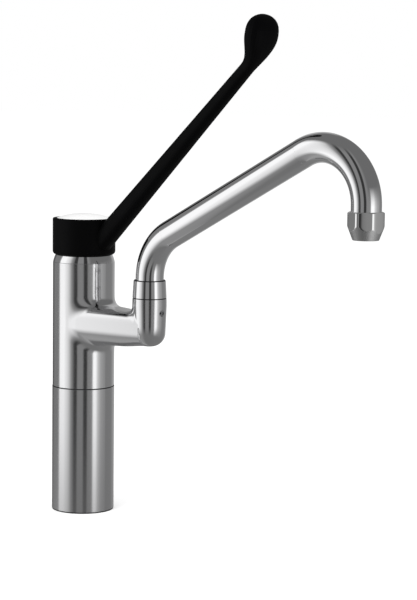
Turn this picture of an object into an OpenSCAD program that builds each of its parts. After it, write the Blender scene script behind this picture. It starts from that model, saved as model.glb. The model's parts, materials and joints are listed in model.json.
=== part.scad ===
// Tall single-lever mixer tap with a swivelling swan-neck spout and a long hygiene lever.
// The origin is on the axis of the body, at the deck that the tap stands on. +Z is up and
// the arm, the spout and the lever point along +X.

/* [Base column] */
// Outer diameter of the base column
column_d = 50; // [47:0.5:54]
// Wall thickness of the base column
column_wall = 2.5; // [2:0.25:3.5]
// Height of the base column above its seal
column_h = 99.5; // [80:0.5:120]
// Thickness of the rubber seal under the column
seal_h = 1; // [0.8:0.1:2]
// Height of the plastic centring ring inside the foot
centring_h = 6; // [4:1:12]
// Opening through the foot for the hoses and the stud
foot_hole_d = 34; // [33:0.5:36]

/* [Valve body] */
// Diameter of the valve body
body_d = 49.5; // [49.5:0.25:52]
// Height of the valve body from the column to the trim ring
body_h = 100.5; // [94:0.5:112]
// Length of the spigot that enters the column
spigot_len = 8; // [6:0.5:14]
// Distance from the body axis to the axis of the spout boss
arm_reach = 73; // [64:1:90]
// Height of the arm axis above the joint with the column
arm_rise = 51.1; // [44:0.5:55]
// Half-height of the arm where it leaves the body
arm_root_r = 14.9; // [14:0.1:16]
// Radius, seen from above, of the curve by which the arm widens into the body
arm_flare = 94; // [80:1:110]
// Half-height of the arm towards the boss
arm_tip_r = 13; // [12.5:0.1:14]
// Squareness of the arm's section, where 2 is round and 4 has nearly flat sides
arm_square = 3.6; // [2:0.1:4]
// Radius of the casting fillets above and below the arm
arm_fillet = 9; // [6:0.5:11]
// Diameter of the spout boss at its top
boss_d = 26.6; // [26:0.1:29]
// Height of the boss top above the arm axis
boss_rise = 25.4; // [22:0.1:34]
// Depth of the rounded end of the boss below the arm axis
boss_depth = 12; // [11.5:0.1:14]
// Diameter of the water channels
channel_d = 8; // [6:0.5:9]

/* [Supply] */
// Wall diameter of the threaded hose inlets, size M10 fine
inlet_d = 9; // [8.5:0.1:9.2]
// Depth of the threaded hose inlets
inlet_depth = 12; // [9:0.5:16]
// Sideways distance from the body axis to each hose inlet
inlet_y = 10; // [9:0.25:10.5]
// Wall diameter of the threaded hole for the fixing stud, size M8
stud_d = 6.8; // [6.6:0.1:7]
// Depth of the threaded hole for the fixing stud
stud_depth = 15; // [12:0.5:20]

/* [Cartridge] */
// Outer diameter of the ceramic cartridge
cartridge_d = 40; // [39:0.25:40]
// Height of the cartridge base
cart_base_h = 6; // [5:0.5:8]
// Thickness of the fixed ceramic disc
fixed_disc_h = 4.5; // [3.5:0.25:6]
// Diameter of the moving ceramic disc
moving_disc_d = 23; // [21:0.5:24]
// Thickness of the moving ceramic disc
moving_disc_h = 4; // [3:0.25:5]
// Height of the carrier on the moving disc
carrier_h = 7; // [6:0.25:8]
// Depth of the lever pivot below the seam of the trim ring
pivot_depth = 5.5; // [5:0.1:6]
// Diameter of the pivot pin
pin_d = 3; // [2.5:0.1:4]
// Distance from the pivot to the centre of the ball that moves the disc
ball_drop = 8; // [7.5:0.1:8.2]
// Diameter of the ball at the lower end of the stem
ball_d = 6; // [5:0.25:6.5]
// Width of the square stem
stem_w = 7; // [6:0.25:7.5]

/* [Trim ring] */
// Radius of the spherical trim ring, centred on the lever pivot
dome_r = 25.2; // [25.1:0.05:25.4]
// Wall thickness of the trim ring
dome_wall = 1.6; // [1.2:0.1:1.8]

/* [Lever] */
// Outer radius of the lever hub
hub_r = 25.1; // [25:0.05:26]
// Height of the lever hub
hub_h = 29.2; // [27:0.1:33]
// Gap above the seam that the hub leaves to the trim ring
hub_lift = 5.5; // [5.3:0.1:6.5]
// Rounding of the lower edge of the hub
hub_round = 3; // [1:0.25:4]
// Slope of the lever arm above the horizontal
lever_slope = 42.6; // [35:0.2:50]
// Distance along the arm from the body axis to the bend at its end
lever_len = 231; // [180:1:245]
// Thickness of the arm at its root, in the plane of the slope
arm_t_root = 17.5; // [14:0.1:18.5]
// Thickness of the arm before the bend
arm_t_tip = 10.1; // [8:0.1:12]
// Bend radius where the arm turns up into the paddle
paddle_bend = 45; // [35:1:60]
// Length of the upright tip above the bend
paddle_tip = 6.4; // [4:0.2:12]
// Width of the paddle
paddle_w = 29.5; // [24:0.5:36]
// Thickness of the paddle
paddle_t = 17; // [12:0.5:20]
// Radius of the polished cap in the top of the hub
cap_r = 21.6; // [19.5:0.1:22]
// Height that the cap domes above the hub
cap_rise = 3.7; // [1.5:0.1:5]

/* [Spout] */
// Outer diameter of the spout tube
tube_d = 22; // [21:0.25:22]
// Wall thickness of the spout tube
tube_wall = 1; // [0.8:0.1:1.2]
// Bend radius of the tube on its centre line at the collar
bend_1 = 39.5; // [34:0.5:50]
// Bend radius of the tube on its centre line at the nozzle
bend_2 = 39.5; // [34:0.5:50]
// Slope of the straight run of the tube
spout_slope = 27.2; // [15:0.2:35]
// Length of the straight run of the tube
spout_run = 147.5; // [100:0.5:200]
// Height of the upright start of the tube above the boss
tube_start = 16; // [14.5:0.25:24]
// Length of the upright tube below the second bend
tube_drop = 14; // [12:0.25:20]
// Height of the swivel collar
collar_h = 13; // [11:0.25:14]
// Diameter of the collar at its lower edge
collar_d_low = 26.6; // [26:0.1:28]
// Diameter of the collar at its upper edge
collar_d_high = 25.2; // [24.4:0.1:26]
// Thickness of the glide ring between boss and collar
glide_h = 0.8; // [0.6:0.1:1.2]
// Diameter of the spigot that turns in the boss
spout_spigot_d = 19.86; // [19.8:0.01:19.9]
// Bore of the spigot
spigot_bore_d = 11; // [9:0.5:12]
// Diameter of the grub screw that keeps the spigot in the boss, size M4
grub_d = 4; // [3:0.25:4]
// Height of the grub screw above the arm axis
grub_rise = 14.6; // [13:0.1:16]

/* [Nozzle] */
// Width of the nozzle nut across its flats
nut_flats = 23.5; // [23.3:0.1:25]
// Height of the nozzle nut
nut_h = 20.2; // [19:0.2:26]
// Height of the tapered part below the flats, which runs from the hexagon to the round mouth
nut_cone_h = 8.2; // [6:0.2:10]
// Diameter of the nozzle at its mouth
mouth_d = 18; // [17:0.1:19]
// Turn of the flats about the nozzle axis
nut_turn = 0; // [-30:0.5:30]
// Number of holes across the flow straightener
straightener_holes = 5; // [3:2:7]

/* [Hidden] */
$fn = 96;

// Clearances between pieces
fit_gap = 0.05;
run_gap = 0.05;
slide_gap = 0.3;
bore_gap = 0.2;
over = 1;

// Small chamfer on the visible edges where column, body and trim ring meet
edge = 0.4;

// Heights on the body axis
joint_z = seal_h + column_h;
seam_z = joint_z + body_h;
pivot_z = seam_z - pivot_depth;
arm_z = joint_z + arm_rise;
spigot_z = joint_z - spigot_len;
column_r = column_d / 2;
column_bore_r = column_r - column_wall;
body_r = body_d / 2;

// Heights in the cartridge, worked down from the pivot
carrier_drop = 6;
carrier_top = pivot_z - carrier_drop;
moving_top = carrier_top - carrier_h;
moving_low = moving_top - moving_disc_h;
fixed_top = moving_low - run_gap;
fixed_low = fixed_top - fixed_disc_h;
seat_z = fixed_low - cart_base_h;
cart_r = cartridge_d / 2;
seat_r = cart_r + bore_gap;
disc_cavity_r = cart_r - 3;
rotor_r = cart_r - 6;
neck_r = cart_r - 2.5;
rotor_low = carrier_top + 0.8;
rotor_top = pivot_z + 8;
shoulder_z = seam_z - 2;
neck_top = pivot_z + 10.5;
nut_wall_r = body_r - 2.8;
nut_low = shoulder_z - 7.5;
nut_top = seam_z + 3.5;
ball_r = ball_d / 2;
pin_r = pin_d / 2;
stem_slot = stem_w + 2 * slide_gap;
carrier_w = 15.4;
lug_gap = 0.3;

// Ports in the cartridge seat
port_r = 3.5;
inlet_x = -4;
outlet_x = 9;
port_seal_r = port_r + 1.6;
port_seal_h = 2;

// Spout axis and the nodes of the tube's centre line
boss_r = boss_d / 2;
boss_top = arm_z + boss_rise;
boss_low_r = boss_r - 0.8;
boss_corner = 10.5;
boss_taper = 20;
boss_low = arm_z - boss_depth;
boss_bore_r = spout_spigot_d / 2 + 0.07;
boss_bore_low = arm_z - channel_d / 2 - 1.5;
collar_low = boss_top + glide_h;
collar_top = collar_low + collar_h;
tube_r = tube_d / 2;
tube_bore_r = tube_r - tube_wall;
tube_low = collar_low + 3;
bend_1_z = boss_top + tube_start;
run_x = arm_reach + bend_1 * (1 - sin(spout_slope));
run_z = bend_1_z + bend_1 * cos(spout_slope);
fall_x = run_x + spout_run * cos(spout_slope);
fall_z = run_z + spout_run * sin(spout_slope);
bend_2_x = fall_x + bend_2 * sin(spout_slope);
bend_2_z = fall_z - bend_2 * cos(spout_slope);
nozzle_x = bend_2_x + bend_2;
tube_end = bend_2_z - tube_drop;
band_step = 0.02;
band_h = 0.4;

// Spigot that turns in the boss
spigot_r = spout_spigot_d / 2;
spigot_low = boss_bore_low + 1;
spigot_high = tube_low + 9;
ring_minor = 1.3;
ring_r = spigot_r - ring_minor;
ring_low_z = spigot_low + 4;
ring_high_z = ring_low_z + 6;
groove_floor_r = spigot_r - 2 * ring_minor - 0.05;
grub_z = arm_z + grub_rise;
grub_r = grub_d / 2;
grub_depth = 1.3;
grub_recess = 0.6;
grub_floor_r = spigot_r - 1.4;

// Nozzle
nut_high = tube_end + 9.6;
nut_base = nut_high - nut_h;
insert_r = mouth_d / 2 - 0.1;
seal_thick = 1;

// Hub and lever
hub_low = seam_z + hub_lift;
hub_high = hub_low + hub_h;
hub_bore_r = hub_r - 1.9;
web_low = hub_low + 17.5;
web_top = web_low + 3;
cap_seat = hub_high - 3.7;
cap_pocket_r = cap_r + 0.15;
socket_low = hub_low + 7.5;
socket_r = stem_w * 0.5 * sqrt(2) + 2.6;
stem_low = pivot_z - 4;
stem_high = web_low + 0;
screw_r = 2.5;

// Cross-section points of a superellipse in two half-widths
function squircle(a, b, n, power) = [for (i = [0:n - 1])
    let (t = 360 * i / n, c = cos(t), s = sin(t))
    [a * sign(c) * pow(abs(c), 2 / power), b * sign(s) * pow(abs(s), 2 / power)]];

// Arc points from one angle to another about a centre
function arc(cx, cy, r, from, to, n) = [for (i = [0:n])
    let (t = from + (to - from) * i / n) [cx + r * cos(t), cy + r * sin(t)]];

// Smooth step from 0 to 1
function ease(t) = let (u = min(max(t, 0), 1)) u * u * (3 - 2 * u);

// Solid skin over rings that all have the same number of points
module loft(rings) {
    n = len(rings[0]);
    m = len(rings);
    points = [for (ring = rings) each ring];
    sides = [for (j = [0:m - 2]) for (i = [0:n - 1])
        let (a = j * n + i, b = j * n + (i + 1) % n)
        each [[a, a + n, b], [b, a + n, b + n]]];
    polyhedron(points, concat([[for (i = [0:n - 1]) i]], sides,
        [[for (i = [n - 1:-1:0]) (m - 1) * n + i]]), convexity = 6);
}

// Ring about the Z axis between two radii
module tube(r_out, r_in, z_low, z_high) {
    translate([0, 0, z_low])
        difference() {
            cylinder(r = r_out, h = z_high - z_low);
            translate([0, 0, -over])
                cylinder(r = r_in, h = z_high - z_low + 2 * over);
        }
}

module drill(x, y, z_low, z_high, r) {
    translate([x, y, z_low])
        cylinder(r = r, h = z_high - z_low, $fn = 48);
}

module o_ring(major, minor, z) {
    translate([0, 0, z])
        rotate_extrude()
            translate([major, 0])
                circle(r = minor, $fn = 32);
}

// Base column and what is inside its foot

module base_column() {
    color("silver")
        rotate_extrude()
            polygon([[column_bore_r, seal_h], [column_r, seal_h], [column_r, joint_z - edge],
                [column_r - edge, joint_z], [column_bore_r, joint_z]]);
}

module deck_seal() {
    color("dimgray")
        tube(column_r - 0.3, foot_hole_d / 2, 0, seal_h);
}

module centring_ring() {
    color("whitesmoke")
        tube(column_bore_r - fit_gap, foot_hole_d / 2, seal_h, seal_h + centring_h);
}

module column_o_ring() {
    color("black")
        o_ring(column_bore_r - 1.05, 0.95, spigot_z + 3);
}

// Valve body

// Half-height of the arm at a distance from the body axis
function arm_half(x) =
    let (share = min(max((x - body_r) / (arm_reach - body_r), 0), 1))
    arm_root_r + (arm_tip_r - arm_root_r) * share;

// Point at turn t on a section of half-height r, which is round at power 2 and squarer above it
function section_point(r, t, power) = [r * sign(cos(t)) * pow(abs(cos(t)), 2 / power),
    r * sign(sin(t)) * pow(abs(sin(t)), 2 / power)];

// Point of the arm. All points of the skin are measured from the arm's axis.
function arm_point(x, t) = concat([x], section_point(arm_half(x), t, arm_square));

// Point on a curve that leaves p towards c and reaches q coming from c
function curve(p, c, q, u) = pow(1 - u, 2) * p + 2 * u * (1 - u) * c + u * u * q;

// The skin starts in a rounded square on the side of the body, where it touches the body, and
// bends into the arm. Seen from above it bends with the flare radius and seen from the side with
// the fillet. It starts a little below the surface, so that it leaves the body at a clear line.
root_depth = 0.5;
root_r = body_r - root_depth;
flare_end = sqrt(pow(arm_flare + body_r, 2) - pow(arm_flare + arm_root_r, 2));
flare_side = root_r * (arm_flare + arm_root_r) / (arm_flare + body_r);
function root_point(t) =
    let (foot = section_point(1, t, arm_square), y = flare_side * foot[0])
    [sqrt(root_r * root_r - y * y), y, (arm_root_r + arm_fillet) * foot[1]];
function root_bend(t) =
    let (turn = asin(root_point(t)[1] / root_r), p = section_point(arm_root_r, t, arm_square))
    concat([(root_r - p[0] * sin(turn)) / cos(turn)], p);
function root_end(t) =
    let (near = body_r + arm_fillet, x = near + (flare_end - near) * pow(cos(t), 2))
    arm_point(min(x, elbow_x - 1), t);

// The skin ends in a line on the boss: a fillet above the arm, and the bottom of the boss below
elbow_x = arm_reach - boss_r - arm_fillet;
elbow_depth = 0.3;
elbow_top = min(arm_tip_r + arm_fillet, boss_rise - 1.5);
function boss_at(z) =
    let (low = boss_corner - boss_depth, share = min(max((z - low) / (boss_taper - low), 0), 1))
    boss_low_r + (boss_r - boss_low_r) * share;
function elbow_bend(t) =
    let (p = section_point(arm_tip_r - elbow_depth, t, (2 + arm_square) / 2))
    concat([arm_reach - boss_low_r * abs(sin(t))], p);
function elbow_end(t) =
    let (z = max(elbow_top * sin(t), 0), r = boss_at(z) - elbow_depth)
    sin(t) > 0 ? [arm_reach - r * sin(t), r * cos(t), z]
    : [arm_reach, r * cos(t), (boss_depth - elbow_depth) * sin(t)];

module arm_skin() {
    n = 40;
    steps = 7;
    turns = [for (i = [0:n - 1]) 360 * i / n];
    root = [for (j = [0:steps]) [for (t = turns)
        curve(root_point(t), root_bend(t), root_end(t), j / steps)]];
    elbow = [for (j = [0:steps]) [for (t = turns)
        curve(arm_point(elbow_x, t), elbow_bend(t), elbow_end(t), j / steps)]];
    inside_body = [for (t = turns) [3, body_r * 0.75 * cos(t), body_r * 0.8 * sin(t)]];
    inside_boss = [for (t = turns) [arm_reach + 1, boss_r / 2 * cos(t), boss_r / 2 * sin(t)]];
    translate([0, 0, arm_z])
        loft(concat([inside_body], root, elbow, [inside_boss]));
}

module boss_outer() {
    translate([arm_reach, 0, 0])
        rotate_extrude()
            polygon(concat([[0, boss_low]],
                arc(boss_low_r - boss_corner, boss_low + boss_corner, boss_corner, -90, 0, 8),
                [[boss_r, arm_z + boss_taper], [boss_r, boss_top], [0, boss_top]]));
}

module body_outer() {
    rotate_extrude()
        polygon([[0, joint_z], [body_r - edge, joint_z], [body_r, joint_z + edge],
            [body_r, seam_z - edge], [body_r - edge, seam_z], [0, seam_z]]);
}

module valve_body() {
    color("lightgray")
        difference() {
            union() {
                body_outer();
                translate([0, 0, spigot_z])
                    cylinder(r = column_bore_r - fit_gap, h = spigot_len + over);
                arm_skin();
                boss_outer();
            }
            cartridge_bore();
            supply_holes();
            outlet_channel();
            spout_bore();
            translate([0, 0, spigot_z + 3])
                difference() {
                    translate([0, 0, -1.1])
                        cylinder(r = column_r, h = 2.2);
                    translate([0, 0, -2])
                        cylinder(r = column_bore_r - 2.05, h = 4);
                }
        }
}

module cartridge_bore() {
    drill(0, 0, seat_z, seam_z + over, seat_r, $fn = 96);
    drill(0, 0, nut_low - 1, seam_z + over, nut_wall_r + 0.05, $fn = 96);
}

module supply_holes() {
    for (side = [-1, 1]) {
        drill(inlet_x, side * inlet_y, spigot_z - over, spigot_z + inlet_depth, inlet_d / 2);
        drill(inlet_x, side * inlet_y, spigot_z, seat_z + over, channel_d / 2);
    }
    drill(outlet_x + 2, 0, spigot_z - over, spigot_z + stud_depth, stud_d / 2);
}

module outlet_channel() {
    drill(outlet_x, 0, arm_z, seat_z + over, channel_d / 2);
    translate([outlet_x - channel_d / 2 + 1, 0, arm_z])
        rotate([0, 90, 0])
            cylinder(d = channel_d + 1, h = arm_reach - outlet_x, $fn = 48);
}

module spout_bore() {
    drill(arm_reach, 0, boss_bore_low, boss_top + over, boss_bore_r, $fn = 96);
    translate([arm_reach + boss_bore_r - 2, 0, grub_z])
        rotate([0, 90, 0])
            cylinder(r = grub_r + 0.02, h = 8, $fn = 48);
    translate([arm_reach + boss_r - 1, 0, grub_z])
        rotate([0, 90, 0])
            cylinder(r = grub_r + grub_recess, h = 4, $fn = 48);
}

// Ceramic cartridge

module port_seal_at(x, y) {
    translate([x, y, 0])
        tube(port_seal_r, port_r, seat_z, seat_z + port_seal_h, $fn = 48);
}

module port_seal_hot() {
    color("black")
        port_seal_at(inlet_x, inlet_y);
}

module port_seal_cold() {
    color("black")
        port_seal_at(inlet_x, -inlet_y);
}

module port_seal_mix() {
    color("black")
        port_seal_at(outlet_x, 0);
}

module ports(z_low, z_high, r) {
    for (side = [-1, 1])
        drill(inlet_x, side * inlet_y, z_low, z_high, r);
    drill(outlet_x, 0, z_low, z_high, r);
}

module cartridge_base() {
    color("gainsboro")
        difference() {
            translate([0, 0, seat_z])
                cylinder(r = cart_r, h = cart_base_h);
            ports(seat_z - over, fixed_low + over, port_r - 0.3);
            ports(seat_z - over, seat_z + port_seal_h, port_seal_r + 0.1);
        }
}

module fixed_disc() {
    color("white")
        difference() {
            translate([0, 0, fixed_low])
                cylinder(r = disc_cavity_r - 0.1, h = fixed_disc_h);
            ports(fixed_low - over, fixed_top + over, port_r - 0.3);
        }
}

module moving_disc() {
    color("white")
        difference() {
            translate([0, 0, moving_low])
                cylinder(d = moving_disc_d, h = moving_disc_h);
            translate([-1, 0, moving_low - over])
                cylinder(r = moving_disc_d / 2 - 4, h = over + moving_disc_h / 2);
        }
}

module disc_carrier() {
    color("dodgerblue")
        difference() {
            translate([0, 0, moving_top])
                intersection() {
                    cylinder(d = moving_disc_d, h = carrier_h);
                    translate([-moving_disc_d / 2, -carrier_w / 2, 0])
                        cube([moving_disc_d, carrier_w, carrier_h]);
                }
            drill(0, 0, pivot_z - ball_drop - ball_r - 0.3, carrier_top + over, ball_r + 0.2);
        }
}

module cartridge_housing() {
    color("whitesmoke")
        difference() {
            union() {
                translate([0, 0, fixed_low])
                    cylinder(r = cart_r, h = shoulder_z - fixed_low);
                translate([0, 0, fixed_low])
                    cylinder(r = neck_r, h = neck_top - fixed_low);
            }
            drill(0, 0, fixed_low - over, rotor_low, disc_cavity_r, $fn = 96);
            drill(0, 0, fixed_low, rotor_top + 0.1, rotor_r + run_gap, $fn = 96);
            drill(0, 0, fixed_low, neck_top + over, rotor_r - 1.5, $fn = 96);
        }
}

// Ring nut that presses the cartridge down, with notches for a pin wrench
module cartridge_nut() {
    color("goldenrod")
        difference() {
            union() {
                translate([0, 0, nut_low])
                    cylinder(r = nut_wall_r, h = seam_z - nut_low);
                translate([0, 0, seam_z - over])
                    cylinder(r = nut_wall_r - 1, h = nut_top - seam_z + over);
            }
            drill(0, 0, nut_low - over, shoulder_z, seat_r, $fn = 96);
            drill(0, 0, nut_low, nut_top + over, neck_r + bore_gap, $fn = 96);
            for (turn = [0:60:300])
                rotate([0, 0, turn])
                    translate([neck_r + 1.4, -2, nut_top - 2])
                        cube([6, 4, 4]);
        }
}

module rotor() {
    color("lightblue")
        difference() {
            union() {
                translate([0, 0, rotor_low + 0.1])
                    cylinder(r = rotor_r, h = rotor_top - rotor_low - 0.1);
                rotor_lugs();
            }
            translate([-9, -stem_slot / 2, rotor_low - over])
                cube([16, stem_slot, rotor_top - rotor_low + 2 * over]);
            translate([0, rotor_r + over, pivot_z])
                rotate([90, 0, 0])
                    cylinder(r = pin_r, h = 2 * rotor_r + 2 * over, $fn = 48);
        }
}

// Two lugs that turn the disc carrier with the rotor
module rotor_lugs() {
    for (side = [-1, 1])
        intersection() {
            translate([0, 0, moving_top + 1])
                cylinder(r = rotor_r, h = carrier_h + 2);
            translate([-7, side > 0 ? carrier_w / 2 + lug_gap : -rotor_r, moving_top + 1])
                cube([14, rotor_r - carrier_w / 2 - lug_gap, carrier_h + 2]);
        }
}

module pivot_pin() {
    color("gray")
        translate([0, rotor_r - 0.5, pivot_z])
            rotate([90, 0, 0])
                cylinder(r = pin_r, h = 2 * rotor_r - 1, $fn = 48);
}

module stem() {
    color("goldenrod")
        difference() {
            union() {
                translate([-stem_w / 2, -stem_w / 2, stem_low])
                    cube([stem_w, stem_w, stem_high - stem_low]);
                drill(0, 0, pivot_z - ball_drop, stem_low + over, 1.9);
                translate([0, 0, pivot_z - ball_drop])
                    sphere(r = ball_r, $fn = 48);
            }
            translate([0, stem_w, pivot_z])
                rotate([90, 0, 0])
                    cylinder(r = pin_r + run_gap, h = 2 * stem_w, $fn = 48);
            drill(0, 0, stem_high - 12, stem_high + over, screw_r);
        }
}

// Spherical trim ring over the cartridge nut, which the hub rides around
module dome_ring() {
    opening_r = neck_r + 0.7;
    inner_r = dome_r - dome_wall;
    low = asin((seam_z - pivot_z) / dome_r);
    low_in = asin((seam_z - pivot_z) / inner_r);
    high = acos(opening_r / dome_r);
    high_in = acos(opening_r / inner_r);
    color("lightgray")
        translate([0, 0, pivot_z])
            rotate_extrude()
                polygon(concat(arc(0, 0, dome_r, low, high, 16),
                    arc(0, 0, inner_r, high_in, low_in, 16)));
}

// Lever

module hub_outer() {
    rotate_extrude()
        polygon(concat([[0, hub_low]],
            arc(hub_r - hub_round, hub_low + hub_round, hub_round, -90, 0, 8),
            arc(hub_r - 0.8, hub_high - 0.8, 0.8, 0, 90, 4),
            [[0, hub_high]]));
}

// Half-thickness and half-width of the lever. The share s is 0 at the start of the paddle and 1
// at its tip, and below 0 it is a share of the arm's length.
paddle_widening = 1.58;
function lever_half_t(s) = let (root = arm_t_root / 2, tip = arm_t_tip / 2)
    s < 0 ? tip + (root - tip) * -s : tip + (paddle_t / 2 - tip) * ease(s * paddle_widening);
function lever_half_w(s) = let (root = arm_t_root / 2 - 0.2, tip = arm_t_tip / 2)
    s < 0 ? tip + (root - tip) * -s : tip + (paddle_w / 2 - tip) * ease(s * paddle_widening);

// A ring of the lever square to its centre line at x and z, with the given tangent angle
function lever_ring(x, z, angle, half_t, half_w) = [for (q = squircle(half_t, half_w, 28, 2.6))
    [x - q[0] * sin(angle), -q[1], z + q[0] * cos(angle)]];

module lever_arm() {
    start = 24;
    axis_z = hub_high - 13.4 - hub_r * tan(lever_slope);
    bend_x = lever_len * cos(lever_slope);
    bend_z = axis_z + lever_len * sin(lever_slope);
    turn = 90 - lever_slope;
    bend_len = paddle_bend * turn * PI / 180;
    paddle_len = bend_len + paddle_tip;
    straight = [for (s = [start, lever_len * 0.35, lever_len * 0.7])
        lever_ring(s * cos(lever_slope), axis_z + s * sin(lever_slope), lever_slope,
            lever_half_t((s - lever_len) / lever_len), lever_half_w((s - lever_len) / lever_len))];
    bent = [for (i = [0:14])
        let (a = lever_slope + turn * i / 14, s = bend_len * i / 14 / paddle_len)
        lever_ring(bend_x + paddle_bend * (sin(a) - sin(lever_slope)),
            bend_z + paddle_bend * (cos(lever_slope) - cos(a)), a,
            lever_half_t(s) * paddle_close(s), lever_half_w(s) * paddle_close(s))];
    top_x = bend_x + paddle_bend * (1 - sin(lever_slope));
    top_z = bend_z + paddle_bend * cos(lever_slope);
    tip = [for (k = [0.35, 0.6, 0.8, 0.92, 0.98, 1])
        let (s = (bend_len + paddle_tip * k) / paddle_len)
        lever_ring(top_x, top_z + paddle_tip * k, 90,
            lever_half_t(s) * paddle_close(s), lever_half_w(s) * paddle_close(s))];
    loft(concat(straight, bent, tip));
}

// Share of the full section that is left near the rounded tip of the paddle
close_start = 0.66;
function paddle_close(s) = let (u = max((s - close_start) / (1 - close_start), 0))
    max(pow(1 - pow(u, 2.6), 0.5), 0.12);

module lever() {
    color("#151515")
        difference() {
            union() {
                difference() {
                    union() {
                        hub_outer();
                        lever_arm();
                    }
                    drill(0, 0, hub_low - over, web_low, hub_bore_r, $fn = 96);
                    drill(0, 0, web_top, hub_high + over, cap_r - 1.6, $fn = 96);
                    drill(0, 0, cap_seat, hub_high + 30, cap_pocket_r, $fn = 96);
                }
                translate([0, 0, socket_low])
                    cylinder(r = socket_r, h = web_low - socket_low + over);
            }
            translate([-stem_w / 2 - fit_gap, -stem_w / 2 - fit_gap, socket_low - over])
                cube([stem_w + 2 * fit_gap, stem_w + 2 * fit_gap, stem_high - socket_low + over]);
            drill(0, 0, web_low - over, web_top + over, screw_r + 0.2);
        }
}

module lever_screw() {
    color("gray")
        difference() {
            union() {
                drill(0, 0, stem_high - 10, web_top + over, screw_r);
                drill(0, 0, web_top, web_top + 3.4, 4.4);
            }
            translate([0, 0, web_top + 1.4])
                cylinder(r = 2, h = 4, $fn = 6);
        }
}

module hub_cap() {
    ball = (cap_r * cap_r + cap_rise * cap_rise) / (2 * cap_rise);
    shell = 1.4;
    half = asin(cap_r / ball);
    half_in = asin((cap_r - shell) / (ball - shell));
    color("lightgray")
        rotate_extrude()
            polygon(concat([[cap_r - shell, cap_seat], [cap_r, cap_seat]],
                arc(0, hub_high + cap_rise - ball, ball, 90 - half, 90, 14),
                arc(0, hub_high + cap_rise - ball, ball - shell, 90, 90 - half_in, 10)));
}

// Spout

module glide_ring() {
    color("#222222")
        translate([arm_reach, 0, 0])
            tube(boss_r - 0.4, boss_bore_r + 0.2, boss_top, collar_low - run_gap);
}

module grub_screw() {
    color("gray")
        translate([arm_reach + grub_floor_r + 0.3, 0, grub_z])
            rotate([0, 90, 0])
                difference() {
                    cylinder(r = grub_r, h = boss_r - grub_floor_r - grub_depth - 0.3, $fn = 48);
                    translate([0, 0, boss_r - grub_floor_r - grub_depth - 2.1])
                        cylinder(r = 1.1, h = 4, $fn = 6);
                }
}

module spout_collar() {
    color("lightgray")
        translate([arm_reach, 0, 0])
            difference() {
                translate([0, 0, collar_low])
                    cylinder(r1 = collar_d_low / 2, r2 = collar_d_high / 2, h = collar_h);
                drill(0, 0, collar_low - over, tube_low + over, spigot_r + fit_gap, $fn = 96);
                drill(0, 0, tube_low, collar_top + over, tube_r + fit_gap, $fn = 96);
            }
}

module collar_ring() {
    color("#222222")
        translate([arm_reach, 0, 0])
            tube(collar_d_high / 2 - 0.4, tube_r + fit_gap, collar_top, collar_top + 0.6);
}

module spout_spigot() {
    color("goldenrod")
        translate([arm_reach, 0, 0])
            difference() {
                drill(0, 0, spigot_low, spigot_high, spigot_r, $fn = 96);
                drill(0, 0, spigot_low - over, spigot_high + over, spigot_bore_d / 2);
                for (z = [ring_low_z, ring_high_z])
                    tube(spigot_r + over, groove_floor_r, z - ring_minor - 0.1, z + ring_minor + 0.1);
                tube(spigot_r + over, grub_floor_r, grub_z - grub_r - 0.2, grub_z + grub_r + 0.2);
            }
}

module spigot_o_ring_low() {
    color("black")
        translate([arm_reach, 0, 0])
            o_ring(ring_r, ring_minor, ring_low_z);
}

module spigot_o_ring_high() {
    color("black")
        translate([arm_reach, 0, 0])
            o_ring(ring_r, ring_minor, ring_high_z);
}

// Bend of a rod that starts on the X axis and turns up in the XZ plane
module rod_bend(bend_r, r, sweep) {
    rotate([90, 0, 0])
        rotate_extrude(angle = sweep)
            translate([bend_r, 0])
                circle(r = r);
}

// Rod along the whole centre line of the spout. A thin band closes each end of the straight run.
module spout_rod(r, extra) {
    translate([arm_reach, 0, tube_low - extra])
        cylinder(r = r, h = bend_1_z - tube_low + extra);
    translate([arm_reach + bend_1, 0, bend_1_z])
        mirror([1, 0, 0])
            rod_bend(bend_1, r, 90 - spout_slope);
    translate([run_x, 0, run_z])
        rotate([0, 90 - spout_slope, 0]) {
            cylinder(r = r, h = spout_run);
            for (z = [0, spout_run])
                translate([0, 0, z - band_h / 2])
                    cylinder(r = r + band_step, h = band_h);
        }
    translate([bend_2_x, 0, bend_2_z])
        rod_bend(bend_2, r, 90 + spout_slope);
    translate([nozzle_x, 0, tube_end - extra])
        cylinder(r = r, h = tube_drop + extra);
}

module spout_tube() {
    color("lightgray")
        difference() {
            spout_rod(tube_r, 0);
            spout_rod(tube_bore_r, over);
        }
}

// Nozzle

// Points of a hexagon with its flats at distance r and one flat towards +X
function hexagon(r, z, n) = [for (i = [0:n - 1])
    let (t = 360 * i / n, from_flat = t - 60 * round(t / 60), d = r / cos(from_flat))
    [d * cos(t), d * sin(t), z]];
function circle_at(r, z, n) = [for (i = [0:n - 1]) [r * cos(360 * i / n), r * sin(360 * i / n), z]];

module nut_outer() {
    n = 48;
    flat_r = nut_flats / 2;
    mouth_r = mouth_d / 2;
    rotate([0, 0, nut_turn])
        loft([circle_at(mouth_r + 0.3, nut_base, n), circle_at(mouth_r + 1, nut_base + 1, n),
            hexagon(flat_r, nut_base + nut_cone_h, n), hexagon(flat_r, nut_high - 1.3, n),
            circle_at(flat_r - 0.2, nut_high, n)]);
}

module aerator_nut() {
    color("lightgray")
        translate([nozzle_x, 0, 0])
            difference() {
                nut_outer();
                drill(0, 0, tube_end - seal_thick, nut_high + over, tube_r + fit_gap, $fn = 96);
                drill(0, 0, nut_base + 1.5, nut_high, insert_r + 0.1, $fn = 96);
                drill(0, 0, nut_base - over, nut_high, insert_r - 1, $fn = 96);
            }
}

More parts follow.
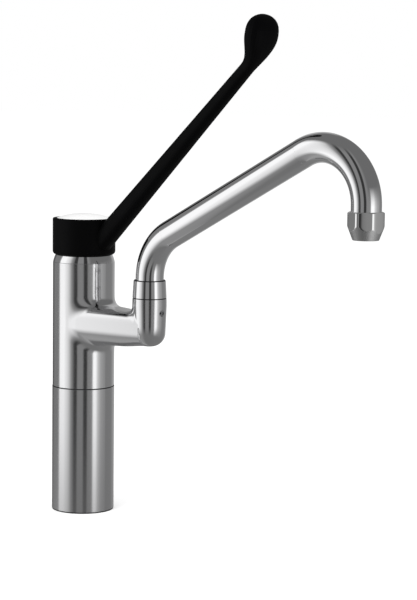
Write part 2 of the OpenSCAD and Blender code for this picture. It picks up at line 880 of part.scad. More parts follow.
// Flow straightener with a square grid of holes over its whole height
module aerator_insert() {
    insert_low = nut_base + 1.5;
    insert_top = tube_end - seal_thick;
    pitch = (2 * insert_r - 3.2) / straightener_holes;
    middle = (straightener_holes - 1) / 2;
    color("whitesmoke")
        translate([nozzle_x, 0, 0])
            difference() {
                drill(0, 0, insert_low, insert_top, insert_r, $fn = 96);
                for (i = [0:straightener_holes - 1])
                    for (j = [0:straightener_holes - 1])
                        if (norm([i - middle, j - middle]) * pitch < insert_r - 1.6)
                            translate([(i - middle) * pitch, (j - middle) * pitch, insert_low - over])
                                linear_extrude(insert_top - insert_low + 2 * over)
                                    square(pitch - 0.8, center = true);
            }
}

module aerator_seal() {
    color("black")
        translate([nozzle_x, 0, 0])
            tube(tube_r - 0.1, insert_r - 1, tube_end - seal_thick, tube_end);
}

base_column();
deck_seal();
centring_ring();
column_o_ring();
valve_body();
cartridge_base();
port_seal_hot();
port_seal_cold();
port_seal_mix();
fixed_disc();
cartridge_housing();
cartridge_nut();
dome_ring();
rotor();
pivot_pin();
moving_disc();
disc_carrier();
stem();
lever();
lever_screw();
hub_cap();
glide_ring();
grub_screw();
spout_collar();
collar_ring();
spout_spigot();
spigot_o_ring_low();
spigot_o_ring_high();
spout_tube();
aerator_nut();
aerator_insert();
aerator_seal();
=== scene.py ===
"""Looks of the single-lever mixer tap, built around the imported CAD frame.

Everything is in metres, except the sizes of the casting's skin, the joint ring and the nozzle nut. They are
in millimetres, as in the CAD source, and piece() turns them into metres.
"""

import json
import math

import bpy
import numpy as np
from mathutils import Matrix, Vector


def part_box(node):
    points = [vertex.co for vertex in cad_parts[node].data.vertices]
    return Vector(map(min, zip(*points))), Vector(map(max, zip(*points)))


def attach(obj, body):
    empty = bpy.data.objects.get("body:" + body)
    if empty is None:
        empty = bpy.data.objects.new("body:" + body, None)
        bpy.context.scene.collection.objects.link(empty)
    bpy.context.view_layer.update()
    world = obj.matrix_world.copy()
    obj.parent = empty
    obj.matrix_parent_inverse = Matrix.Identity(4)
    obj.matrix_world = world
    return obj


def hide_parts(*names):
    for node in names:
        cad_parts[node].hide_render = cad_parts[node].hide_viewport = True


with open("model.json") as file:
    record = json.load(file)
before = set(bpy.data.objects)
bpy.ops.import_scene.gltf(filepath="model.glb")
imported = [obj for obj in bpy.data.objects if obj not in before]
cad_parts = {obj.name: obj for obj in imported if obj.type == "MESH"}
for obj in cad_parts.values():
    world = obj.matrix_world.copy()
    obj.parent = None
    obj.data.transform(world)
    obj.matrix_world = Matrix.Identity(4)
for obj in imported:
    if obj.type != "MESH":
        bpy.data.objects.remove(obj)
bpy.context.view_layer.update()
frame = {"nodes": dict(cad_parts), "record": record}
NODES = frame["nodes"]
SLOT_OF = {part["node"]: part["material_slot"] for part in frame["record"]["subparts"]}
JOINTS = {joint["name"]: joint for joint in frame["record"]["behaviour"]["joints"]}

# The camera, fitted to the photograph's outline
CAMERA_PLACE = Vector((1.1421, -1.1187, 0.3512))
CAMERA_FORWARD = Vector((-0.6649, 0.7384, -0.1124)).normalized()
CAMERA_ROLL = math.radians(0.688)
FOCAL_PX, PHOTO_HEIGHT_PX = 2000.0, 600
SENSOR_HEIGHT_MM = 24.0
CLIP_START, CLIP_END = 0.05, 60

# Direction from the tap to the camera, which the studio is laid out by
FRONT = math.radians(-44.4)


# Node helpers

def clear_tree(tree):
    for node in list(tree.nodes):
        tree.nodes.remove(node)


def new_node(tree, kind, **values):
    node = tree.nodes.new(kind)
    for name, value in values.items():
        setattr(node, name, value)
    return node


def feed(tree, socket, value):
    """A socket set to a number, or linked to the output of another node."""
    if isinstance(value, (int, float)):
        socket.default_value = value
    else:
        tree.links.new(value, socket)


def math_node(tree, operation, *values):
    node = new_node(tree, "ShaderNodeMath", operation=operation)
    for socket, value in zip(node.inputs, values):
        feed(tree, socket, value)
    return node.outputs[0]


def mix_value(tree, fac, a, b):
    """a where fac is 0, b where it is 1, for values or colours read as values."""
    node = new_node(tree, "ShaderNodeMix", data_type="FLOAT")
    for socket, value in zip((node.inputs[0], node.inputs[2], node.inputs[3]), (fac, a, b)):
        feed(tree, socket, value)
    return node.outputs[0]


def ramp(tree, fac, stops, interpolation="LINEAR"):
    """A colour ramp of greys: stops are (position, value) pairs."""
    node = new_node(tree, "ShaderNodeValToRGB")
    node.color_ramp.interpolation = interpolation
    elements = node.color_ramp.elements
    while len(elements) > 1:
        elements.remove(elements[-1])
    elements[0].position = stops[0][0]
    elements[0].color = (stops[0][1],) * 3 + (1,)
    for position, value in stops[1:]:
        element = elements.new(position)
        element.color = (value,) * 3 + (1,)
    tree.links.new(fac, node.inputs[0])
    return node.outputs[0]


def spread(tree, fac, low, high):
    """fac from 0 to 1 turned into the range low to high."""
    node = new_node(tree, "ShaderNodeMapRange")
    node.inputs["To Min"].default_value = low
    node.inputs["To Max"].default_value = high
    tree.links.new(fac, node.inputs["Value"])
    return node.outputs[0]


def object_coordinates(tree):
    return new_node(tree, "ShaderNodeTexCoord").outputs["Object"]


def noise(tree, coordinates, scale, detail=2.0, rough=0.5, stretch=(1, 1, 1)):
    """Noise with scale waves in a metre, and stretch times as many along each axis."""
    mapping = new_node(tree, "ShaderNodeMapping")
    mapping.inputs["Scale"].default_value = stretch
    tree.links.new(coordinates, mapping.inputs["Vector"])
    node = new_node(tree, "ShaderNodeTexNoise")
    node.inputs["Scale"].default_value = scale
    node.inputs["Detail"].default_value = detail
    node.inputs["Roughness"].default_value = rough
    tree.links.new(mapping.outputs[0], node.inputs["Vector"])
    return node.outputs[0]


def bump(tree, shader, height, distance, strength=1.0):
    node = new_node(tree, "ShaderNodeBump")
    node.inputs["Distance"].default_value = distance
    node.inputs["Strength"].default_value = strength
    tree.links.new(height, node.inputs["Height"])
    tree.links.new(node.outputs[0], shader.inputs["Normal"])


def material(name):
    made = bpy.data.materials.new(name)
    made.use_nodes = True
    clear_tree(made.node_tree)
    return made


def surface(name, colour, metallic, roughness, **sockets):
    """A Principled material with its output, ready for texture nodes."""
    made = material(name)
    tree = made.node_tree
    shader = new_node(tree, "ShaderNodeBsdfPrincipled")
    output = new_node(tree, "ShaderNodeOutputMaterial")
    tree.links.new(shader.outputs[0], output.inputs[0])
    shader.inputs["Base Color"].default_value = tuple(colour) + (1,)
    shader.inputs["Metallic"].default_value = metallic
    shader.inputs["Roughness"].default_value = roughness
    for socket, value in sockets.items():
        shader.inputs[socket.replace("_", " ")].default_value = value
    return made, tree, shader


# Materials. Tones and roughnesses run from 0 to 1, and the depths of bumps are in metres.

# The third tone is painted shade, the darker colour of the nut's surfaces that look down.
CAST_TONE, PLATE_TONE, DOWNWARD_SHADE_TONE = 0.86, 0.91, 0.6
BLUE = 1.01  # chrome reflects this much more blue
PLATE_ROUGH, CONE_ROUGH = 0.05, 0.45
SMUDGE = 0.03  # how much handling marks change the roughness, up and down
POLISH_WAVES, POLISH_DEPTH = 35, 0.00002
GRAIN_WAVES, GRAIN_DEPTH = 900, 0.00001


def chrome(name, roughness, tone):
    """Chrome plate: a faint wave of the polished metal below it and slight handling marks."""
    made, tree, shader = surface(name, (tone, tone, tone * BLUE), metallic=1.0, roughness=roughness)
    place = object_coordinates(tree)
    marks = noise(tree, place, scale=60, detail=4, rough=0.6)
    tree.links.new(spread(tree, marks, roughness - SMUDGE, roughness + SMUDGE),
                   shader.inputs["Roughness"])
    bump(tree, shader, noise(tree, place, POLISH_WAVES), POLISH_DEPTH)
    return made


def turned_and_shaded_chrome(name):
    """Chrome that is duller on surfaces that look down, where a cone was turned, with painted shade there:
    a darker tone on those downward surfaces.
    """
    made, tree, shader = surface(name, (PLATE_TONE,) * 3, metallic=1.0, roughness=PLATE_ROUGH)
    parts = new_node(tree, "ShaderNodeSeparateXYZ")
    normal = new_node(tree, "ShaderNodeNewGeometry").outputs["Normal"]
    tree.links.new(normal, parts.inputs[0])
    upwards = math_node(tree, "ADD", math_node(tree, "MULTIPLY", parts.outputs[2], 0.5), 0.5)
    cone = ramp(tree, upwards, [(0.0, 1.0), (0.38, 1.0), (0.45, 0.0)])
    tree.links.new(mix_value(tree, cone, PLATE_ROUGH, CONE_ROUGH), shader.inputs["Roughness"])
    # Painted shade: the base colour darkens on surfaces that look down.
    tree.links.new(mix_value(tree, cone, PLATE_TONE, DOWNWARD_SHADE_TONE), shader.inputs["Base Color"])
    bump(tree, shader, noise(tree, object_coordinates(tree), POLISH_WAVES), POLISH_DEPTH)
    return made


def satin_steel(name):
    """Steel with a fine grain that runs round the column."""
    made, tree, shader = surface(name, (0.80, 0.80, 0.81), metallic=1.0, roughness=0.2)
    place = object_coordinates(tree)
    grain = noise(tree, place, GRAIN_WAVES, detail=3, rough=0.7, stretch=(0.25, 0.25, 1.6))
    cloud = noise(tree, place, scale=45, detail=3, rough=0.6, stretch=(1, 1, 0.4))
    tree.links.new(spread(tree, cloud, 0.11, 0.19), shader.inputs["Roughness"])
    bump(tree, shader, grain, GRAIN_DEPTH, strength=0.6)
    return made


def black_coat(name):
    """Matt black coat with a fine orange-peel surface."""
    made, tree, shader = surface(name, (0.0015, 0.0015, 0.0017), metallic=0.0, roughness=0.5,
                                 Specular_IOR_Level=0.06)
    place = object_coordinates(tree)
    cloud = noise(tree, place, scale=90, detail=3)
    tree.links.new(spread(tree, cloud, 0.42, 0.58), shader.inputs["Roughness"])
    bump(tree, shader, noise(tree, place, scale=1400), distance=0.00002, strength=0.5)
    return made


def moulded(name, colour, roughness, level=0.5):
    """Moulded plastic or rubber with a fine skin."""
    made, tree, shader = surface(name, colour, metallic=0.0, roughness=roughness,
                                 Specular_IOR_Level=level)
    place = object_coordinates(tree)
    cloud = noise(tree, place, scale=120, detail=3)
    tree.links.new(spread(tree, cloud, roughness - 0.06, roughness + 0.06), shader.inputs["Roughness"])
    bump(tree, shader, noise(tree, place, GRAIN_WAVES), GRAIN_DEPTH, strength=0.5)
    return made


def turned_metal(name, colour, roughness):
    """Turned brass or steel with fine tool marks across the axis."""
    made, tree, shader = surface(name, colour, metallic=1.0, roughness=roughness)
    marks = noise(tree, object_coordinates(tree), scale=500, stretch=(0.1, 0.1, 3))
    tree.links.new(spread(tree, marks, roughness - 0.05, roughness + 0.08), shader.inputs["Roughness"])
    bump(tree, shader, marks, distance=0.000015, strength=0.6)
    return made


LOOKS = {
    "brushed_column": satin_steel("satin_column"),
    "chrome_cast": chrome("chrome_casting", 0.135, CAST_TONE),
    "chrome_tube": chrome("chrome_tube", 0.07, PLATE_TONE),
    "chrome_trim": chrome("chrome_trim", 0.045, PLATE_TONE),
    "black_coat": black_coat("black_coat"),
    "black_rubber": moulded("rubber", (0.012, 0.012, 0.013), 0.7, level=0.3),
    "white_plastic": moulded("white_plastic", (0.78, 0.78, 0.75), 0.4),
    "blue_plastic": moulded("blue_plastic", (0.08, 0.22, 0.5), 0.4),
    "black_plastic": moulded("black_plastic", (0.01, 0.01, 0.011), 0.5, level=0.3),
    "ceramic": moulded("ceramic", (0.85, 0.84, 0.80), 0.15),
    "bare_brass": turned_metal("turned_brass", (0.78, 0.57, 0.26), 0.22),
    "bright_steel": turned_metal("machined_steel", (0.6, 0.6, 0.61), 0.25),
}


def dress(obj, look):
    if not obj.material_slots:
        obj.data.materials.append(look)
    for slot in obj.material_slots:
        slot.material = look


for node_name, node in NODES.items():
    dress(node, LOOKS[SLOT_OF[node_name]])
dress(NODES["hub_cap"], moulded("pale_cap", (0.93, 0.93, 0.93), 0.35))


# Finer skins, in mm. The sizes of the body, the arm and the boss repeat the CAD source.

MM = 1000  # millimetres in a metre

JOINT_Z = 100.5  # where the column ends and the valve body begins
BODY_R = 24.75
ARM_Z = JOINT_Z + 51.1  # height of the arm's axis
SWIVEL = [round(value * MM, 3) for value in JOINTS["spout_swivel"]["pos_m"]]  # middle of the boss's top
REACH = SWIVEL[0]  # from the body's axis to the boss's
ROOT_R, TIP_R = 14.9, 13.0  # half the arm's height where it leaves the body and where it meets the boss
SQUARE = 3.6  # power of the arm's section: 2 is an ellipse, more is squarer
FILLET = 9.0  # between body and arm
BOSS_R, BOSS_LOW_R = 13.3, 12.5  # at the top and at the level of the arm
BOSS_RISE, BOSS_DEPTH = round(SWIVEL[2] - ARM_Z, 3), 12.0  # up and down from the arm's axis
BOSS_CORNER = 10.5  # rounding of its lower end
BOSS_TAPER = 20.0  # height over the arm's axis where it reaches its full width


def piece(name, points, faces, body, look, normals=None):
    """A smooth piece from points in mm, dressed and riding on a body."""
    mesh = bpy.data.meshes.new(name)
    mesh.from_pydata([tuple(c / MM for c in p) for p in points], [], faces)
    mesh.validate()
    mesh.update()
    mesh.shade_smooth()
    if normals:
        mesh.normals_split_custom_set_from_vertices([tuple(n) for n in normals])
    made = bpy.data.objects.new(name, mesh)
    bpy.context.scene.collection.objects.link(made)
    mesh.materials.append(look)
    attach(made, body)
    return made


def ring(radii, turns, z, x=0.0):
    """Points round an upright axis at x, one for each angle in turns."""
    return [(x + r * math.cos(t), r * math.sin(t), z) for r, t in zip(radii, turns)]


def full_turn(n):
    """Angles of n equal steps round a circle."""
    return [2 * math.pi * i / n for i in range(n)]


def loop_faces(count, n):
    """Quads between rings of n points each; the last ring joins the first one again."""
    faces = []
    for j in range(count):
        a, b = j * n, (j + 1) % count * n
        faces += [(a + i, a + (i + 1) % n, b + (i + 1) % n, b + i) for i in range(n)]
    return faces


def loop_normals(rings):
    """Normals of such rings from the neighbours of each point."""
    normals = []
    for j, here in enumerate(rings):
        low, high = rings[j - 1], rings[(j + 1) % len(rings)]
        for i in range(len(here)):
            along = Vector(high[i]) - Vector(low[i])
            around = Vector(here[(i + 1) % len(here)]) - Vector(here[i - 1])
            normals.append(around.cross(along).normalized())
    return normals


def ring_piece(name, rings, body, look, normals=None):
    """A smooth piece from a closed loop of rings."""
    points = [point for here in rings for point in here]
    return piece(name, points, loop_faces(len(rings), len(rings[0])), body, look, normals)


# Side arm and boss of the casting, as one smooth surface round the body, the arm and the boss. Points
# are rows of x, y and z, with z measured from the arm's axis. A field gives each point's distance from
# a surface, less than 0 inside it, and the surface's normal there.

TAPER = math.asin((BODY_R - BOSS_LOW_R) / REACH)  # of each side in plan, from body to boss
TANGENT_X = BODY_R * math.sin(TAPER)  # where the sides touch the body
ELBOW_X = REACH - BOSS_R - FILLET  # where the arm's underside begins to bend to the boss
ELBOW_SQUARE, ELBOW_FILLET = 2.4, 7.5
ELBOW_FADE = 4  # the fillet at the elbow closes up over this length before the boss's axis
POLISHED_SQUARE, POLISHED_END = 2.3, 18.0  # power of the lower section and length of the boss's round end

SKIN, THIN_SKIN = 0.15, 0.03  # how far the casting stands off its solid, and off the body beside it
BODY_FADE, TOP_FADE = 2, 6  # lengths over which it thins out beside the body and below the boss's top
TOP_GAP = 0.25  # it ends this far below the boss's top
BOSS_TOP = BOSS_RISE - TOP_GAP
OVERLAP = 1.2  # how far past the fillet it runs on over the body
FILLET_POWER = 0.75  # how the width of a fillet follows the turn between its surfaces
LEAST, CORE = 0.01, 0.1  # least share of a fillet's width, and of the arm's section, that is reckoned with

HOLE_Z, HOLE_R = 14.6, 2.62  # of the grub screw
CELL = 0.75  # of the grid that the skin is cut from
MARGIN, WIDE_MARGIN = 1, 3  # of that grid round the casting, and towards the body and below the arm


def length(columns):
    """Length of vectors given as their columns, kept off 0 so that it can divide."""
    return np.maximum(np.sqrt(sum(c * c for c in columns)), 1e-9)


def body_field(p):
    """The valve body: a plain upright round."""
    x, y = p[:, 0], p[:, 1]
    out = length((x, y))
    return out - BODY_R, np.stack((x / out, y / out, 0 * x), axis=1)


def arm_field(p, polished=False):
    """The arm: its sides run straight from the body to the boss."""
    x, y, z = p[:, 0], np.abs(p[:, 1]), np.abs(p[:, 2])
    lower = p[:, 2] < 0
    high = ROOT_R + (TIP_R - ROOT_R) * np.clip((x - BODY_R) / (REACH - BODY_R), 0, 1)
    bend = np.clip((x - ELBOW_X) / (REACH - ELBOW_X), 0, 1)
    bend = np.where(lower, bend * bend * (3 - 2 * bend), 0)
    high = high + (BOSS_DEPTH - TIP_R) * bend
    square = np.where(lower, POLISHED_SQUARE if polished else SQUARE, SQUARE)
    square = square + (ELBOW_SQUARE - square) * bend
    wide = (BODY_R - np.maximum(x, TANGENT_X) * math.sin(TAPER)) / math.cos(TAPER)
    share = np.maximum(((y / wide) ** square + (z / high) ** square) ** (1 / square), CORE)
    slope_y = (y / wide / share) ** (square - 1) / wide
    slope_z = (z / high / share) ** (square - 1) / high
    slope_x = np.where(x > TANGENT_X, slope_y * y / wide * math.tan(TAPER), 0)
    size = length((slope_x, slope_y, slope_z))
    slopes = (slope_x, slope_y * np.sign(p[:, 1]), slope_z * np.sign(p[:, 2]))
    side, end = (share - 1) / size, x - REACH
    capped = (end > side)[:, None]
    normal = np.where(capped, (1.0, 0.0, 0.0), np.stack(slopes, axis=1) / size[:, None])
    return np.maximum(side, end), normal


def boss_field(p, polished=False):
    """The boss: a slightly tapered round with a rounded lower end, or a longer round end if polished."""
    x, y, z = p[:, 0] - REACH, p[:, 1], p[:, 2]
    out = length((x, y))
    low = (POLISHED_END if polished else BOSS_CORNER) - BOSS_DEPTH
    widening = np.clip((z - low) / (BOSS_TAPER - low), 0, 1)
    wide = BOSS_LOW_R + (BOSS_R - BOSS_LOW_R) * widening
    under = np.minimum(z - low, 0)
    if polished:
        size = length((out / BOSS_LOW_R, under / POLISHED_END))
        end = (size - 1) * BOSS_LOW_R
        over, under = out / BOSS_LOW_R ** 2, under / POLISHED_END ** 2
    else:
        over = np.where(z < low, np.maximum(out - BOSS_LOW_R + BOSS_CORNER, 0), 1)
        end = length((over, under)) - BOSS_CORNER
    slopes = np.stack((x / out * over, y / out * over, under), axis=1)
    return np.where(z < low, end, out - wide), slopes / length((over, under))[:, None]


def joined(first, second, width):
    """Two fields with a fillet between them, which closes up where the surfaces run alike."""
    (a, normal_a), (b, normal_b) = first, second
    alike = np.sum(normal_a * normal_b, axis=1)
    k = width * np.clip(1 - alike, LEAST, 1) ** FILLET_POWER
    near = np.maximum(k - np.abs(a - b), 0) / k
    part = np.where(a < b, near / 2, 1 - near / 2)[:, None]
    normal = normal_a * (1 - part) + normal_b * part
    return np.minimum(a, b) - near * near * k / 4, normal / length(normal.T)[:, None]


def arm_and_boss(p, polished=False):
    """The arm and the boss, with a fillet that closes up towards the boss's axis."""
    width = ELBOW_FILLET * np.clip((REACH - p[:, 0]) / ELBOW_FADE, LEAST, 1)
    return joined(arm_field(p, polished), boss_field(p, polished), width)


def skin(p, polished=False):
    """Distance from the casting a little enlarged, less so beside the body and at the top."""
    body = body_field(p)
    thick = np.clip(body[0] / BODY_FADE, 0, 1) * np.clip((BOSS_TOP - p[:, 2]) / TOP_FADE, 0, 1)
    return joined(arm_and_boss(p, polished), body, FILLET)[0] - THIN_SKIN - (SKIN - THIN_SKIN) * thick


def polished_skin(p):
    """The same casting with its lower side rubbed rounder, which is what its shading follows."""
    return skin(p, polished=True)


def gradient(distance, p, step=0.02):
    """Unit normals of a surface, from its distance on both sides of each point."""
    columns = []
    for axis in range(3):
        shift = np.zeros(3)
        shift[axis] = step
        columns.append(distance(p + shift) - distance(p - shift))
    slopes = np.stack(columns, axis=1)
    return slopes / length(slopes.T)[:, None]


def on_surface(distance, p, rounds=4):
    """Points near a surface moved onto it."""
    for _ in range(rounds):
        p = p - gradient(distance, p) * distance(p)[:, None]
    return p


def net(distance, low, high, size):
    """Quads of the surface where a distance is zero: one point in each grid cell that it crosses."""
    counts = [math.ceil((end - start) / size) for start, end in zip(low, high)]
    axes = [start + size * np.arange(count + 1) for start, count in zip(low, counts)]
    grid = np.stack(np.meshgrid(*axes, indexing="ij"), axis=-1)
    value = distance(grid.reshape(-1, 3)).reshape(grid.shape[:3])
    inside = value < 0

    # Each grid edge that crosses the surface gives its crossing to the four cells round it
    total, hits = np.zeros(counts + [3]), np.zeros(counts)
    cuts = []
    for axis in range(3):
        lower, upper = [slice(None)] * 3, [slice(None)] * 3
        lower[axis], upper[axis] = slice(0, -1), slice(1, None)
        lower, upper = tuple(lower), tuple(upper)
        cut = inside[lower] != inside[upper]
        with np.errstate(divide="ignore", invalid="ignore"):
            share = np.where(cut, value[lower] / (value[lower] - value[upper]), 0)[..., None]
        place = np.where(cut[..., None], grid[lower] * (1 - share) + grid[upper] * share, 0)
        cuts.append((cut, inside[lower]))
        others = [other for other in range(3) if other != axis]
        for shifts in ((0, 0), (0, 1), (1, 0), (1, 1)):
            part = [slice(0, count) for count in counts]
            for other, shift in zip(others, shifts):
                part[other] = slice(shift, shift + counts[other])
            total += place[tuple(part)]
            hits += cut[tuple(part)]
    used = hits > 0
    number = np.full(counts, -1)
    number[used] = np.arange(used.sum())
    points = total[used] / hits[used][:, None]

    # The same edge makes the quad between those four cells
    quads = []
    for axis, (cut, from_inside) in enumerate(cuts):
        others = [(axis + 1) % 3, (axis + 2) % 3]
        edges = np.argwhere(cut)
        framed = [(edges[:, other] > 0) & (edges[:, other] < counts[other]) for other in others]
        edges = edges[framed[0] & framed[1]]
        corners = []
        for shifts in ((-1, -1), (0, -1), (0, 0), (-1, 0)):
            cell = edges.copy()
            cell[:, others] += shifts
            corners.append(number[tuple(cell.T)])
        quad = np.stack(corners, axis=1)
        inwards = ~from_inside[tuple(edges.T)]
        quad[inwards] = quad[inwards][:, ::-1]
        quads.append(quad)
    return points, np.concatenate(quads)


def make_casting():
    """Chrome skin of the side arm and the boss, fitted over the solid casting."""
    low = (TANGENT_X - WIDE_MARGIN, -BODY_R - MARGIN, -ROOT_R - FILLET - WIDE_MARGIN)
    high = (REACH + BOSS_R + MARGIN, BODY_R + MARGIN, BOSS_TOP)
    points, quads = net(skin, low, high, CELL)
    points = on_surface(skin, points)
    near_arm = arm_and_boss(points)[0] < FILLET + OVERLAP
    quads = quads[near_arm[quads].all(axis=1)]

    # The hole of the grub screw, with its rim drawn onto a circle
    beside_hole = np.hypot(points[:, 1], points[:, 2] - HOLE_Z)
    from_hole = np.where(points[:, 0] > REACH, beside_hole, np.inf)
    in_hole = from_hole[quads].mean(axis=1) < HOLE_R
    rim = np.intersect1d(quads[in_hole], quads[~in_hole])
    quads = quads[~in_hole]
    scale = HOLE_R / from_hole[rim]
    points[rim, 1] *= scale
    points[rim, 2] = HOLE_Z + (points[rim, 2] - HOLE_Z) * scale

    normals = gradient(polished_skin, points)
    points[:, 2] += ARM_Z
    used, quads = np.unique(quads, return_inverse=True)
    piece("casting_arm", points[used].tolist(), quads.reshape(-1, 4).tolist(), "body",
          LOOKS["chrome_cast"], normals[used].tolist())


make_casting()


SEAL_SIDES = 240
SEAL_IN, SEAL_OUT = 0.6, 0.12  # inwards and outwards from the body's surface
SEAL_DOWN, SEAL_UP = 0.2, 0.5  # from the joint


def make_joint_ring():
    """Dark edge of the seal between the column and the valve body, which shows as a line."""
    inner, outer = BODY_R - SEAL_IN, BODY_R + SEAL_OUT
    low, high = JOINT_Z - SEAL_DOWN, JOINT_Z + SEAL_UP
    turns = full_turn(SEAL_SIDES)
    rings = [ring([r] * len(turns), turns, z)
             for r, z in ((inner, low), (outer, low), (outer, high), (inner, high))]
    ring_piece("joint_ring", rings, "body", LOOKS["black_rubber"])


make_joint_ring()


# Nozzle nut, turned from hexagon bar, with its corners rounded by polishing

NUT_SIDES = 288  # of its rings, which follow the hexagon's rounded corners
NUT_FLAT = 12.1  # half the width across flats
NUT_FRONT = 11.74  # the same towards +x, which keeps the nut inside the box of the CAD
NUT_TURN = math.radians(9)
NUT_SHARP = 14  # power of the hexagon: more is sharper at the corners
CONE_SHARP = 90  # the same for the edges that the cones cut
MOUTH_R, TUBE_R, TUBE_GAP = 9.0, 11.0, 0.05
INSERT_SEAT, TUBE_SEAT = 1.5, 9.6  # heights over the mouth
LIP = 1.1  # how far the lip below the insert reaches inwards
BORE_CUT = 0.3  # how far the corners of the bore are cut back
FLAT_END = 0.4  # the flat lower end reaches this far beyond the mouth's radius
FOOT, FOOT_RISE = 0.8, 1  # foot of the lower cone, beyond the mouth's radius and over the mouth
CONE_SLOPE = 0.39  # of the lower cone, outwards for each mm upwards
TOP_SLOPE = 1.7  # of the upper cone, outwards for each mm downwards
TOP_INSET, TOP_EDGE = 0.2, 0.05  # from the flats to that cone at the top, and the height of its last ring
NUT_STEP = 0.3  # height between rings


def hexagon_share(t):
    """Radius at angle t of a hexagon with rounded corners, as a share of the distance of its flats."""
    sides = [math.cos(t - NUT_TURN - k * math.pi / 3) for k in range(6)]
    sides.append(math.cos(t) * NUT_FLAT / NUT_FRONT)
    return sum(side ** NUT_SHARP for side in sides if side > 0) ** (-1 / NUT_SHARP)


def soft_corners(chain, size, steps=4):
    """An open chain of points with its inner corners cut back and bent round."""
    made = [Vector(chain[0])]
    for before, here, after in zip(chain, chain[1:], chain[2:]):
        before, here, after = Vector(before), Vector(here), Vector(after)
        a, b = before - here, after - here
        cut = min(size, a.length / 4, b.length / 4)
        a, b = here + a.normalized() * cut, here + b.normalized() * cut
        for k in range(steps + 1):
            u = k / steps
            made.append(a * (1 - u) ** 2 + here * 2 * u * (1 - u) + b * u * u)
    return made + [Vector(chain[-1])]


def make_nut():
    """Nozzle nut with round cones cut on both ends of the hexagon, and its stepped bore."""
    low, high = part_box("aerator_nut")
    x = (low[0] + high[0]) * MM / 2
    base, top = low[2] * MM, high[2] * MM
    tube_r, lip_r = TUBE_R + TUBE_GAP, MOUTH_R - LIP
    foot_r, foot = MOUTH_R + FOOT, base + FOOT_RISE
    bore = [(tube_r, top), (tube_r, base + TUBE_SEAT), (MOUTH_R, base + TUBE_SEAT),
            (MOUTH_R, base + INSERT_SEAT), (lip_r, base + INSERT_SEAT), (lip_r, base),
            (MOUTH_R + FLAT_END, base), (foot_r, foot)]
    turns = full_turn(NUT_SIDES)
    rings = [ring([r] * len(turns), turns, z, x) for r, z in soft_corners(bore, BORE_CUT)]

    flats = [NUT_FLAT * hexagon_share(t) for t in turns]
    count = int((top - TOP_EDGE - foot) / NUT_STEP)
    for z in [foot + NUT_STEP * k for k in range(1, count + 1)] + [top - TOP_EDGE, top]:
        cones = (foot_r + CONE_SLOPE * (z - foot), NUT_FLAT - TOP_INSET + TOP_SLOPE * (top - z))
        cut = sum(cone ** -CONE_SHARP for cone in cones)
        radii = [(flat ** -CONE_SHARP + cut) ** (-1 / CONE_SHARP) for flat in flats]
        rings.append(ring(radii, turns, z, x))
    made = ring_piece("nozzle_nut", rings, "spout", turned_and_shaded_chrome("chrome_nut"),
                      loop_normals(rings))
    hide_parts("aerator_nut")


make_nut()


# Studio

FLOOR_HALF = 12.0  # half its width
PAPER_TONE, FLOOR_GLOW, WORLD_LIGHT = 0.86, 0.3, 0.85
TENT_R, TENT_PLACE = 0.62, (0, 0, 0.2)
LAMP_AIM = Vector((0.08, 0, 0.18))

# What the polished metal sees of the tent: (degrees to the right of the camera, brightness)
ROUND = [(-180, 0.20), (-160, 0.12), (-146, 0.09), (-138, 0.20), (-106, 0.20), (-101, 0.35), (-97, 1.04),
         (-76, 1.05), (-69, 0.90), (-62, 0.80), (-54, 0.60), (-47, 0.30), (-38, 0.14), (-34, 0.04),
         (-25, 0.04), (-22, 0.23), (-2, 0.23), (1, 0.035), (12, 0.035), (15, 0.23), (32, 0.25), (36, 1.1),
         (46, 1.1), (54, 0.62), (66, 0.38), (80, 0.30), (92, 0.21), (124, 0.22), (140, 0.35), (170, 0.5),
         (180, 0.2)]
GROUND = [(-180, 0.2), (-140, 0.25), (-100, 0.34), (-60, 0.26), (-30, 0.17), (180, 0.2)]
CEILING = 0.15  # brightness over the boxes

# How much of the ground or the ceiling shows: (degrees over the horizon, share)
GROUND_FADE = [(-90, 1), (-40.5, 1), (-30.06, 0.5), (-21.96, 0.1), (-16.2, 0)]
CEILING_FADE = [(-90, 0), (45, 0), (59.4, 1)]

# The boxes on the right end lower: (degrees over the horizon, share), (degrees to the right, share)
LOW_FADE = [(-90, 0), (4.5, 0), (18, 1)]
LOW_ROUND = [(-180, 0), (18, 0), (28.8, 1), (129.6, 1), (144, 0)]


def stage_material(name):
    made = material(name)
    return made, made.node_tree, new_node(made.node_tree, "ShaderNodeOutputMaterial")


def make_floor():
    """A plain pale floor that keeps the tap's shadow."""
    size = FLOOR_HALF
    mesh = bpy.data.meshes.new("floor")
    mesh.from_pydata([(-size, -size, 0), (size, -size, 0), (size, size, 0), (-size, size, 0)], [],
                     [(0, 1, 2, 3)])
    floor = bpy.data.objects.new("floor", mesh)
    bpy.context.scene.collection.objects.link(floor)
    made, tree, output = stage_material("pale_floor")
    paper = new_node(tree, "ShaderNodeBsdfDiffuse")
    paper.inputs["Color"].default_value = (PAPER_TONE, PAPER_TONE, PAPER_TONE, 1)
    glow = new_node(tree, "ShaderNodeEmission")
    seen = new_node(tree, "ShaderNodeLightPath").outputs["Is Camera Ray"]
    tree.links.new(math_node(tree, "MULTIPLY", seen, FLOOR_GLOW), glow.inputs["Strength"])
    both = new_node(tree, "ShaderNodeAddShader")
    tree.links.new(paper.outputs[0], both.inputs[0])
    tree.links.new(glow.outputs[0], both.inputs[1])
    tree.links.new(both.outputs[0], output.inputs[0])
    mesh.materials.append(made)
    floor.visible_glossy = False


def make_world():
    """White behind the tap, and the same plain light from all sides."""
    world = bpy.data.worlds.new("studio")
    bpy.context.scene.world = world
    world.use_nodes = True
    tree = world.node_tree
    clear_tree(tree)
    back = new_node(tree, "ShaderNodeBackground")
    back.inputs["Color"].default_value = (1, 1, 1, 1)
    seen = new_node(tree, "ShaderNodeLightPath").outputs["Is Camera Ray"]
    tree.links.new(mix_value(tree, seen, WORLD_LIGHT, 1.0), back.inputs["Strength"])
    output = new_node(tree, "ShaderNodeOutputWorld")
    tree.links.new(back.outputs[0], output.inputs[0])


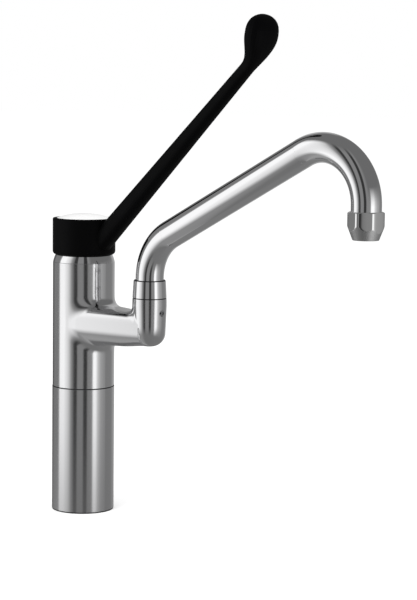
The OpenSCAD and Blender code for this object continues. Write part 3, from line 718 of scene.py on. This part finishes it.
def as_share(tree, angle, turn):
    """An angle from -turn/2 to turn/2 turned into a share from 0 to 1."""
    return math_node(tree, "ADD", math_node(tree, "DIVIDE", angle, turn), 0.5)


def ramp_round(tree, share, stops, interpolation="LINEAR"):
    return ramp(tree, share, [(0.5 + degrees / 360, value) for degrees, value in stops], interpolation)


def ramp_up(tree, share, stops):
    return ramp(tree, share, [(0.5 + degrees / 180, value) for degrees, value in stops])


def make_tent():
    """A studio tent round the tap: soft boxes, their gaps and a darker ground, seen only in reflections."""
    bpy.ops.mesh.primitive_uv_sphere_add(segments=96, ring_count=48, radius=TENT_R, location=TENT_PLACE)
    tent = bpy.context.object
    tent.name = "tent"
    tent.data.name = "tent"
    made, tree, output = stage_material("tent_light")
    parts = new_node(tree, "ShaderNodeSeparateXYZ")
    turned = new_node(tree, "ShaderNodeMapping", vector_type="POINT")
    turned.inputs["Rotation"].default_value = (0, 0, -FRONT)
    tree.links.new(object_coordinates(tree), turned.inputs["Vector"])
    tree.links.new(turned.outputs[0], parts.inputs[0])
    x, y, z = parts.outputs
    aside = as_share(tree, math_node(tree, "ARCTAN2", y, x), 2 * math.pi)
    flat = math_node(tree, "SQRT", math_node(tree, "ADD", math_node(tree, "MULTIPLY", x, x),
                                             math_node(tree, "MULTIPLY", y, y)))
    height = as_share(tree, math_node(tree, "ARCTAN2", z, flat), math.pi)
    low_box = math_node(tree, "MULTIPLY", ramp_up(tree, height, LOW_FADE),
                        ramp_round(tree, aside, LOW_ROUND))
    dim = math_node(tree, "MAXIMUM", ramp_up(tree, height, CEILING_FADE), low_box)
    bright = mix_value(tree, ramp_up(tree, height, GROUND_FADE), ramp_round(tree, aside, ROUND),
                       ramp_round(tree, aside, GROUND, "EASE"))
    glow = new_node(tree, "ShaderNodeEmission")
    tree.links.new(mix_value(tree, dim, bright, CEILING), glow.inputs["Strength"])
    tree.links.new(glow.outputs[0], output.inputs[0])
    tent.data.materials.append(made)
    made.cycles.emission_sampling = "NONE"
    tent.visible_camera = False
    tent.visible_diffuse = False
    tent.visible_shadow = False
    tent.visible_transmission = False
    tent.visible_volume_scatter = False


def make_lamp(name, place, size, power):
    """A soft lamp that looks at the tap and isn't itself seen in the metal."""
    data = bpy.data.lights.new(name, "AREA")
    data.shape = "DISK"
    data.size = size
    data.energy = power
    lamp = bpy.data.objects.new(name, data)
    bpy.context.scene.collection.objects.link(lamp)
    lamp.location = place
    lamp.rotation_euler = (LAMP_AIM - Vector(place)).to_track_quat("-Z", "Y").to_euler()
    lamp.visible_glossy = False


def make_camera():
    right = CAMERA_FORWARD.cross(Vector((0, 0, 1))).normalized()
    up = right.cross(CAMERA_FORWARD).normalized()
    cos, sin = math.cos(CAMERA_ROLL), math.sin(CAMERA_ROLL)
    rolled_right = right * cos + up * sin
    rolled_up = up * cos - right * sin
    data = bpy.data.cameras.new("camera")
    data.sensor_fit = "VERTICAL"
    data.sensor_height = SENSOR_HEIGHT_MM
    data.lens = FOCAL_PX / PHOTO_HEIGHT_PX * SENSOR_HEIGHT_MM
    data.clip_start = CLIP_START
    data.clip_end = CLIP_END
    camera = bpy.data.objects.new("camera", data)
    bpy.context.scene.collection.objects.link(camera)
    turn = Matrix((rolled_right, rolled_up, -CAMERA_FORWARD)).transposed().to_4x4()
    camera.matrix_world = Matrix.Translation(CAMERA_PLACE) @ turn
    bpy.context.scene.camera = camera


make_floor()
make_world()
make_tent()
make_lamp("key", (0.2, -1.6, 1.6), size=1.2, power=18)
make_lamp("fill", (1.4, 0.9, 1.2), size=1.2, power=8)
make_camera()

bpy.context.scene.view_settings.view_transform = "Standard"
